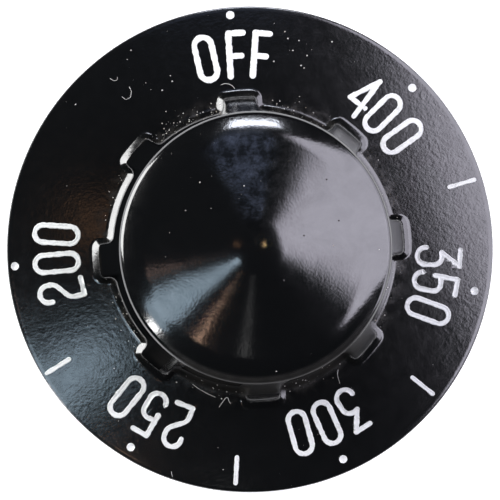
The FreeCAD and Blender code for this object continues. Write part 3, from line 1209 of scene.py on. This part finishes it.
@dataclass
class EngravedScale:
    """The scale cut into the skirt and filled with white enamel."""

    form: DialForm = field(default_factory=DialForm)
    finish: ScaleEnamel = field(default_factory=ScaleEnamel)
    half_width: float = 1.12
    half_height: float = 2.84
    tick: tuple[float, float] = (27.0, 31.45)
    shift: tuple[float, float] = (-0.38, 0.38)
    film: float = 0.06
    chord: float = 0.15
    span: float = 0.3
    dot_span: float = 0.2
    numeral_tool: Tool = Tool(0.6, 0.485)
    off_tool: Tool = Tool(0.7, 0.56)
    tick_tool: Tool = Tool(0.5, 0.405)
    dot_tool: Tool = Tool(0.8, 0.585)
    labels: tuple[Label, ...] = (
        Label("OFF", 25.06, (98.0, 88.7, 81.3), 89.7, 30.31),
        Label("400", 24.76, (48.05, 40.0, 30.85), 39.3, 29.93),
        Label("350", 24.97, (-7.65, -15.6, -24.25), -15.7, 30.24),
        Label("300", 25.22, (-61.95, -70.4, -78.85), -70.4, 30.45),
        Label("250", 25.1, (-116.05, -124.7, -133.35), -124.8, 30.27),
        Label("200", 24.94, (188.95, 180.4, 171.85), 180.3, 30.41),
    )
    tick_angles: tuple[float, ...] = (11.8, -43.1, -97.5, -152.3)
    sweeps: dict[Layer, list[Sweep]] = field(
        default_factory=lambda: {layer: [] for layer in Layer}
    )

    def lay(self, spots: list[Spot], angle: float, stroke: Stroke, tool: Tool) -> None:
        """Lay a stroke on the skirt.

        Args:
            spots: The stroke in mm, along the reading direction and outwards from the axis.
            angle: Direction from the axis in degrees.
            stroke: The stroke's layer and whether it closes.
            tool: The tool that cuts it.
        """
        slope = math.radians(self.form.skirt_slope)
        out = Vector(heading(angle)[:2])
        along = Vector((out.y, -out.x))
        places: list[Place] = []
        for spot in spots:
            flat = along * spot.x + out * spot.y + Vector(self.shift)
            away = flat.normalized() * math.sin(slope) * tool.lift
            height = self.form.skirt_height(flat.length) + math.cos(slope) * tool.lift
            places.append((flat.x + away.x, flat.y + away.y, height))
        self.sweeps[stroke.layer].append((places, tool, stroke.closed))

    def write(self, sign: str, radius: float, angle: float, tool: Tool) -> None:
        """Lay the strokes of one character.

        Args:
            sign: The character.
            radius: Radius of its middle in mm.
            angle: Direction of its middle from the axis in degrees.
            tool: The tool that cuts it.
        """
        for stroke in GLYPHS[sign]:
            corners = [
                Corner(c.x * self.half_width, c.y * self.half_height, c.radius) for c in stroke.corners
            ]
            spots = round_path(corners, self.chord, stroke.closed)
            if stroke.closed:
                spots.append(spots[0])
            else:
                for end, after in ((0, 1), (-1, -2)):
                    tip = Vector(spots[end])
                    spots[end] = Spot(*(tip + (tip - Vector(spots[after])).normalized() * tool.radius))
            spots = split_spans(spots, self.span)
            if stroke.closed:
                spots.pop()
            self.lay([Spot(s.x, s.y + radius) for s in spots], angle, stroke, tool)

    def layout(self) -> None:
        """Lay out all characters, dots and ticks."""
        line = Stroke(())
        for label in self.labels:
            tool = self.numeral_tool if label.text.isdigit() else self.off_tool
            for sign, angle in zip(label.text, label.angles):
                self.write(sign, label.radius, angle, tool)
            half = self.dot_tool.radius
            dot = [Spot(0.0, label.dot_radius - half), Spot(0.0, label.dot_radius + half)]
            self.lay(split_spans(dot, self.dot_span), label.dot_angle, line, self.dot_tool)
        tick = split_spans([Spot(0.0, radius) for radius in self.tick], self.span)
        for angle in self.tick_angles:
            self.lay(tick, angle, line, self.tick_tool)

    @staticmethod
    def groove_tree() -> NodeTree:
        """Build the tree that turns lines into the round-ended paths of a ball-nosed tool.

        Returns:
            The tree.
        """
        tree, add, given = new_tree("paths of a ball-nosed tool", {
            "Step": "Float", "Sides": "Int", "Weld": "Float", "Material": "Material",
        })
        lines = add("GeometryNodeMeshToCurve", {"Mesh": given["Geometry"]})
        even = add("GeometryNodeResampleCurve", {"Curve": lines, "Length": given["Step"]}, mode="LENGTH")
        named = add("GeometryNodeInputNamedAttribute", {"Name": "tool_radius"}, data_type="FLOAT")
        radius = named.outputs["Attribute"]
        position = add("GeometryNodeInputPosition")
        uneven = add(NOISE, {"Vector": position, "Scale": 1 / (RAGGED_WIDTH * MM), "Detail": 2.0})
        swing = add(MAP_RANGE, {
            "Value": uneven, "From Min": 0.3, "From Max": 0.7, "To Min": 0.96, "To Max": 1.04,
        })
        ragged = add(MATH, {0: radius, 1: swing}, operation="MULTIPLY")
        gone = add("GeometryNodeSplineParameter").outputs["Length"]
        whole = add("GeometryNodeSplineLength").outputs["Length"]
        left = add(MATH, {0: whole, 1: gone}, operation="SUBTRACT")
        nearer = add(MATH, {0: gone, 1: left}, operation="MINIMUM")
        share = add(MATH, {0: nearer, 1: radius}, operation="DIVIDE", use_clamp=True)
        rest = add(MATH, {0: 1.0, 1: share}, operation="SUBTRACT")
        square = add(MATH, {0: rest, 1: rest}, operation="MULTIPLY")
        under = add(MATH, {0: 1.0, 1: square}, operation="SUBTRACT", use_clamp=True)
        ball = add(MATH, {0: under}, operation="SQRT")
        full = add(MATH, {0: ball, 1: add("GeometryNodeInputSplineCyclic")}, operation="MAXIMUM")
        size = add(MATH, {0: ragged, 1: full}, operation="MULTIPLY")
        ring = add("GeometryNodeCurvePrimitiveCircle", {"Resolution": given["Sides"], "Radius": 1.0})
        sized = add("GeometryNodeSetCurveRadius", {"Curve": even, "Radius": size})
        tubes = add("GeometryNodeCurveToMesh", {"Curve": sized, "Profile Curve": ring})
        if "Scale" in tubes.inputs:
            fill(tree, tubes, {"Scale": size})
        closed = add("GeometryNodeMergeByDistance", {"Geometry": tubes, "Distance": given["Weld"]})
        end_tree(add, add("GeometryNodeSetShadeSmooth", {"Geometry": closed}), given["Material"])
        return tree

    @staticmethod
    def tubes(
        name: str, sweeps: list[Sweep], tree: NodeTree, material: Material
    ) -> Object:
        """Make the closed tubes that a tool sweeps.

        Args:
            name: The object's name.
            sweeps: The swept lines.
            tree: The tree of the tool's paths.
            material: The material that the tubes carry.

        Returns:
            The tubes as one object.
        """
        places: list[Place] = []
        edges: list[tuple[int, int]] = []
        radii: list[float] = []
        for line, tool, closed in sweeps:
            first = len(places)
            places += line
            radii += [tool.radius * MM] * len(line)
            edges += [(first + i, first + i + 1) for i in range(len(line) - 1)]
            if closed:
                edges.append((len(places) - 1, first))
        obj = new_object(name, places, edges=edges)
        marks = obj.data.attributes.new("tool_radius", "FLOAT", "POINT")
        marks.data.foreach_set("value", radii)
        grow(obj, tree, {
            "Step": TUBE_STEP * MM, "Sides": TUBE_SIDES, "Weld": TUBE_WELD * MM, "Material": material,
        })
        face_outwards(obj)
        return obj

    def engrave(self, dial: Object) -> None:
        """Cut the scale into the dial and leave the grooves marked with the paint's material.

        Args:
            dial: The moulding.
        """
        self.layout()
        paint = self.finish.build()
        black = dial.data.materials[0]
        dial.data.materials.append(paint)
        tree = self.groove_tree()
        for layer in Layer:
            cutter = self.tubes(f"cut_{layer.name.lower()}", self.sweeps[layer], tree, paint)
            cutter.data.materials.clear()
            for material in (black, paint):
                cutter.data.materials.append(material)
            cutter.data.polygons.foreach_set("material_index", [1] * len(cutter.data.polygons))
            carve(dial, cutter, "DIFFERENCE")

    def build(self, dial: Object) -> Object:
        """Fill the grooves of the dial with a film of paint.

        Args:
            dial: The engraved moulding.

        Returns:
            The film of paint.
        """
        paint = dial.data.materials[1]
        work = bmesh.new()
        work.from_mesh(dial.data)
        plain = [face for face in work.faces if face.material_index == 0]
        bmesh.ops.delete(work, geom=plain, context="FACES")
        for face in work.faces:
            face.material_index = 0
        mesh = bpy.data.meshes.new("scale_film")
        work.to_mesh(mesh)
        work.free()
        mesh.materials.append(paint)
        film = link_object(mesh.name, mesh)
        thick = film.modifiers.new("film", "SOLIDIFY")
        thick.thickness = self.film * MM
        thick.offset = 1.0
        settle(film)
        dial.data.polygons.foreach_set("material_index", [0] * len(dial.data.polygons))
        dial.data.materials.pop(index=1)
        return film

    @staticmethod
    def dress(film: Object) -> None:
        """Hand the film of paint to the frame."""
        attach(film, "root")


@dataclass
class ShaftSpring:
    """The leaf spring of the frame, which keeps its own mesh."""

    node: str = "shaft_spring"
    finish: SpringSteel = field(default_factory=SpringSteel)

    def dress(self) -> Object:
        """Give the spring its steel.

        Returns:
            The spring.
        """
        obj = bpy.data.objects[self.node]
        obj.data.materials.clear()
        obj.data.materials.append(self.finish.build())
        return obj


@dataclass
class Dirt:
    """Dust that has settled on the knob, thickest in the corner round the grip."""

    form: DialForm = field(default_factory=DialForm)
    finish: KitchenDust = field(default_factory=KitchenDust)
    lint: KitchenDust = field(default_factory=lambda: KitchenDust("lint", "#d5d3cf", "#a39a8c"))
    # Dark specks that paint the shade of the pits in the cone.
    soot: KitchenDust = field(default_factory=lambda: KitchenDust("soot", "#2b2622", "#15120f"))
    seed: int = 7
    density: float = 1.3
    smallest: float = 0.018
    largest: float = 0.09
    # How rare the large specks are, and the thickness of a speck against its width.
    size_power: float = 3.0
    flatness: float = 0.5
    corner_radii: Zone = Zone(20.4, 18.9)
    corner_top: float = 7.0
    thick_side: float = 108.0
    thick_share: float = 3.0
    thin_share: float = 0.012
    least_level: float = 0.55
    lint_bend: float = 0.2
    lint_chord: float = 0.08
    grain_slant: float = 0.6
    fibre: Tool = Tool(0.032, 0.03)
    crumb: Tool = Tool(0.17, 0.1)
    fleck: Tool = Tool(0.11, 0.04)
    mote: Tool = Tool(0.09, -0.06)
    fibres: tuple[tuple[tuple[float, float], ...], ...] = (
        ((-14.13, 22.4), (-13.86, 21.72), (-14.05, 20.95), (-14.67, 20.67), (-15.22, 21.17)),
        ((-16.53, 23.65), (-16.04, 23.28), (-15.57, 23.31), (-15.54, 23.77)),
        ((-2.22, 21.61), (-1.68, 21.77), (-1.12, 21.65), (-0.66, 21.34), (-0.4, 20.93)),
        ((-9.04, -16.88), (-8.26, -17.56), (-7.27, -18.23), (-6.13, -18.87)),
        ((-5.81, -20.22), (-5.26, -19.51), (-4.59, -18.77), (-4.47, -19.44), (-4.24, -19.92)),
        ((10.05, -16.53), (9.9, -17.18), (10.01, -17.84), (10.16, -18.45)),
        ((-12.66, -28.0), (-12.62, -28.39), (-12.53, -28.8)),
    )
    crumbs: tuple[tuple[tuple[float, float], ...], ...] = (
        ((-2.05, 19.25), (-1.75, 19.05), (-1.6, 18.7)),
        ((-1.4, 18.35), (-1.55, 17.95)),
        ((-2.9, 18.0), (-3.2, 18.1)),
    )
    flecks: tuple[tuple[float, float], ...] = (
        (6.72, 27.96), (7.04, 27.02), (8.45, 26.64), (7.56, 25.4), (8.45, 23.35), (8.82, 22.99),
        (9.34, 24.59), (4.96, 24.16), (12.76, 26.16), (-13.49, 27.09), (-8.46, 22.6), (-21.25, 20.61),
        (-9.86, 21.53),
    )
    sparks: tuple[tuple[float, float], ...] = ((-6.36, 8.62),)
    motes: tuple[tuple[float, float], ...] = (
        (-8.39, 5.26), (-5.25, 5.26), (-10.61, 2.68), (3.03, -4.33),
    )
    # Pits in the cone, whose shade the dark specks paint.
    pits: tuple[tuple[float, float], ...] = ((9.41, 7.73), (10.5, 2.49), (4.84, 10.36), (5.97, 0.97))

    def dust_tree(self) -> NodeTree:
        """Build the tree that scatters flat specks on upward faces, densest round the grip.

        Returns:
            The tree.
        """
        tree, add, given = new_tree("dust settled on a surface", {
            "Density": "Float", "Seed": "Int", "Smallest": "Float", "Largest": "Float", "Near": "Float",
            "Far": "Float", "Top": "Float", "Heading": "Vector", "Thick": "Float", "Material": "Material",
        })
        place = add("GeometryNodeInputPosition")
        flat = add(VECTOR_MATH, {0: place, 1: (1.0, 1.0, 0.0)}, operation="MULTIPLY")
        radius = add(VECTOR_MATH, {0: flat}, operation="LENGTH")
        corner = add(MAP_RANGE, {
            "Value": radius, "From Min": given["Far"], "From Max": given["Near"],
        }, **SMOOTH)
        facing = add(SEPARATE, {"Vector": add("GeometryNodeInputNormal").outputs["Normal"]})
        upward = add(MATH, {0: facing.outputs["Z"], 1: self.least_level}, operation="GREATER_THAN")
        height = add(SEPARATE, {"Vector": place}).outputs["Z"]
        low = add(MATH, {0: height, 1: given["Top"]}, operation="LESS_THAN")
        share = add(MATH, {0: corner, 1: low}, operation="MULTIPLY")
        most = add(MATH, {0: share, 1: self.thin_share}, operation="MAXIMUM")
        way = add(VECTOR_MATH, {0: flat}, operation="NORMALIZE")
        along = add(VECTOR_MATH, {0: way, 1: given["Heading"]}, operation="DOT_PRODUCT")
        side = add(MAP_RANGE, {
            "Value": along, "From Min": 0.8, "From Max": 0.97, "To Min": 1.0, "To Max": given["Thick"],
        })
        local = add(MATH, {0: most, 1: side}, operation="MULTIPLY")
        amount = add(MATH, {0: local, 1: given["Density"]}, operation="MULTIPLY")
        marks = add("GeometryNodeDistributePointsOnFaces", {
            "Mesh": given["Geometry"], "Selection": upward, "Density": amount, "Seed": given["Seed"],
        }).outputs
        chance = add("FunctionNodeRandomValue", {"Seed": given["Seed"]})
        steep = add(MATH, {0: chance, 1: self.size_power}, operation="POWER")
        size = add(MAP_RANGE, {"Value": steep, "To Min": given["Smallest"], "To Max": given["Largest"]})
        thin = add(MATH, {0: size, 1: self.flatness}, operation="MULTIPLY")
        speck = add("GeometryNodeMeshIcoSphere", {"Radius": 1.0, "Subdivisions": 2})
        specks = add("GeometryNodeInstanceOnPoints", {
            "Points": marks["Points"], "Instance": speck.outputs["Mesh"], "Rotation": marks["Rotation"],
            "Scale": add(COMBINE, {"X": size, "Y": size, "Z": thin}),
        })
        end_tree(add, specks, given["Material"])
        return tree

    def build(self, dial: Object) -> Object:
        """Scatter the dust on the dial.

        Args:
            dial: The engraved moulding.

        Returns:
            The specks as one piece.
        """
        obj = link_object("dust_specks", dial.data.copy())
        grow(obj, self.dust_tree(), {
            "Density": self.density / MM ** 2, "Seed": self.seed,
            "Smallest": self.smallest * MM, "Largest": self.largest * MM,
            "Near": self.corner_radii.end * MM, "Far": self.corner_radii.begin * MM,
            "Top": self.corner_top * MM, "Heading": heading(self.thick_side),
            "Thick": self.thick_share, "Material": self.finish.build(),
        })
        return obj

    def grain(self, x: float, y: float, tool: Tool, on_cone: bool) -> Sweep:
        """Lay a small grain.

        Args:
            x: Place in mm.
            y: Place in mm.
            tool: The grain's size.
            on_cone: Whether it lies on the cone or on the skirt.

        Returns:
            The line that sweeps the grain.
        """
        half = tool.radius
        height = self.form.cone_height if on_cone else self.form.skirt_height
        level = height(math.hypot(x, y)) + tool.lift
        line = [(x + half * step, y + half * step * self.grain_slant, level) for step in (-1.0, 0.0, 1.0)]
        return line, tool, False

    def build_lint(self) -> list[Object]:
        """Lay the fibres, crumbs and grains that lie on the skirt and the cone, and dark specks that paint
        the shade of the cone's pits.

        Returns:
            The pale lint, and the dark specks that paint the pits' shade.
        """
        pale: list[Sweep] = []
        for tool, lines in ((self.fibre, self.fibres), (self.crumb, self.crumbs)):
            for line in lines:
                corners = [Corner(x, y, self.lint_bend) for x, y in line]
                spots = round_path(corners, self.lint_chord)
                heights = [self.form.skirt_height(math.hypot(*spot)) + tool.lift for spot in spots]
                pale.append(([(s.x, s.y, z) for s, z in zip(spots, heights)], tool, False))
        pale += [self.grain(x, y, self.fleck, False) for x, y in self.flecks]
        pale += [self.grain(x, y, self.fleck, True) for x, y in self.sparks]
        pale += [self.grain(x, y, self.mote, True) for x, y in self.motes]
        # Dark specks on the pits paint their shade.
        dark = [self.grain(x, y, self.fleck, True) for x, y in self.pits]
        tree = EngravedScale.groove_tree()
        return [
            EngravedScale.tubes("lint_fibres", pale, tree, self.lint.build()),
            EngravedScale.tubes("soot_grains", dark, tree, self.soot.build()),
        ]

    @staticmethod
    def dress(obj: Object) -> None:
        """Hand a piece of dirt to the frame."""
        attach(obj, "root")


class Aim(Enum):
    """Where a lamp's face points."""

    DOWN = auto()
    KNOB = auto()


@dataclass(frozen=True)
class Panel:
    """A flat lamp in mm, along the photograph's right, its up and the height over the floor."""

    name: str
    place: Place
    width: float
    depth: float
    radiance: float
    colour: str
    turn: float = 0.0
    aim: Aim = Aim.DOWN


@dataclass
class Studio:
    """Floor, lamps, world and camera, laid out along the photograph's right and up."""

    floor: PaleFloor = field(default_factory=PaleFloor)
    floor_half: float = 400.0
    # A hair below the rim's land, which would flicker against a floor in its own plane.
    floor_level: float = -0.03
    room: str = "#1d1e1f"
    sensor: float = 36.0
    dial_turn: float = 4.6
    camera_distance: float = 400.0
    camera_left: float = 2.15
    camera_down: float = 0.65
    half_view: float = 32.64
    centre_height: float = 2.6
    centre_shift: tuple[float, float] = (-0.69, -0.9)
    panels: tuple[Panel, ...] = (
        Panel("window", (465.7, 138.1, 600), 520, 601, 2.9, "#f2efff", 17.0),
        Panel("window_edge_in", (212.3, 60.6, 600), 10, 601, 2.2, "#f2efff", 17.0),
        Panel("window_edge", (202.7, 57.7, 600), 10, 601, 1.45, "#f2efff", 17.0),
        Panel("window_edge_out", (193.1, 54.8, 600), 10, 601, 0.7, "#f2efff", 17.0),
        Panel("top_lamp", (22, 500, 600), 200, 112, 11.0, "#eef2ff"),
        Panel("top_haze_wide", (-14, 320, 600), 150, 190, 0.17, "#b6c8f6"),
        Panel("top_haze", (-16, 325, 600), 104, 180, 0.26, "#b6c8f6"),
        Panel("top_haze_core", (2, 374, 600), 90, 100, 1.2, "#b6c8f6"),
        Panel("blue_card_tip", (-132, -102, 600), 62, 46, 3.1, "#c4dcee", 35.5),
        Panel("blue_card", (-233, -160, 600), 156, 90, 3.0, "#c4dcee", 35.5),
        Panel("blue_gap", (-339, -242, 600), 112, 128, 2.4, "#c4dcee", 35.5),
        Panel("low_lamp", (-410, -332, 600), 110, 58, 11.0, "#ffffff", 39.0),
        Panel("copper_card", (-113, -207, 600), 36, 6, 11.0, "#ffd2b4", 61.0),
        Panel("brown_card", (-121, 30, 600), 40, 32, 0.55, "#ffc090", -15.0),
        Panel("rose_card", (-233, -57, 600), 52, 11, 2.0, "#e0bcae", 13.6),
        Panel("grey_card", (-4, -238, 600), 44, 13, 0.5, "#ffffff", 90.0),
        Panel("warm_glint", (82, 31, 600), 8, 8, 40.0, "#ffd9a0"),
        Panel("left_wall", (-500, 180, 215), 420, 470, 6.4, "#ffffff", aim=Aim.KNOB),
        Panel("right_wall", (560, 90, 250), 760, 380, 2.2, "#f2efff", aim=Aim.KNOB),
    )

    def turned(self, right: float, up: float, height: float) -> Vector:
        """Turn a place given along the photograph's right and up into the knob's axes, in metres."""
        turn = Matrix.Rotation(math.radians(-self.dial_turn), 3, "Z")
        return turn @ Vector((right, up, height)) * MM

    def build_floor(self) -> None:
        """Lay the pale sheet under the knob."""
        half = self.floor_half
        corners = ((-half, -half), (half, -half), (half, half), (-half, half))
        places = [(*corner, self.floor_level) for corner in corners]
        obj = new_object("floor", places, faces=[(0, 1, 2, 3)])
        obj.data.materials.append(self.floor.build())

    def build_lamps(self) -> None:
        """Hang the lamps and set the dark room round them."""
        for panel in self.panels:
            lamp = bpy.data.lights.new(panel.name, "AREA")
            lamp.shape = "RECTANGLE"
            lamp.size = panel.width * MM
            lamp.size_y = panel.depth * MM
            lamp.energy = LAMP_WATTS * panel.radiance * lamp.size * lamp.size_y
            lamp.color = linear(panel.colour)[:3]
            obj = link_object(panel.name, lamp)
            obj.location = self.turned(*panel.place)
            if panel.aim is Aim.KNOB:
                obj.rotation_euler = (-obj.location).to_track_quat("-Z", "Y").to_euler()
            else:
                obj.rotation_euler.z = math.radians(panel.turn - self.dial_turn)
        world = bpy.data.worlds.new("dark room")
        world.use_nodes = True
        world.node_tree.nodes["Background"].inputs["Color"].default_value = linear(self.room)
        bpy.context.scene.world = world

    def build_camera(self) -> None:
        """Place the camera over the knob as in the photograph."""
        data = bpy.data.cameras.new("camera")
        target = Vector((0.0, 0.0, self.centre_height * MM))
        side = math.tan(math.radians(self.camera_left))
        low = math.tan(math.radians(self.camera_down))
        away = self.turned(-side, -low, 1.0).normalized()
        data.sensor_width = self.sensor
        data.lens = data.sensor_width / 2 * self.camera_distance / self.half_view
        data.shift_x, data.shift_y = (pixels / IMAGE_SIZE for pixels in self.centre_shift)
        data.clip_start = 0.01
        right = self.turned(0.0, 1.0, 0.0).normalized().cross(away).normalized()
        axes = Matrix((right, away.cross(right), away)).transposed()
        obj = link_object("camera", data)
        obj.matrix_world = Matrix.Translation(target + away * self.camera_distance * MM) @ axes.to_4x4()
        bpy.context.scene.camera = obj

    def build(self) -> None:
        """Set up the whole studio."""
        self.build_floor()
        self.build_lamps()
        self.build_camera()
        bpy.context.scene.view_settings.view_transform = "Standard"


def main() -> None:
    """Build the knob's pieces in order and set up the studio."""
    logging.basicConfig(level=logging.INFO, format="%(message)s")
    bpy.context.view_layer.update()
    moulding = MouldedDial()
    dial = moulding.build()
    scale = EngravedScale(moulding.form)
    scale.engrave(dial)
    film = scale.build(dial)
    moulding.dress(dial)
    scale.dress(film)
    spring = ShaftSpring().dress()
    dirt = Dirt(moulding.form)
    dust = dirt.build(dial)
    lint = dirt.build_lint()
    for piece in (dust, *lint):
        dirt.dress(piece)
    for piece in (dial, film, spring, dust, *lint):
        LOG.info("%s: %d faces", piece.name, len(piece.data.polygons))
    Studio().build()


if __name__ == "__main__":
    main()
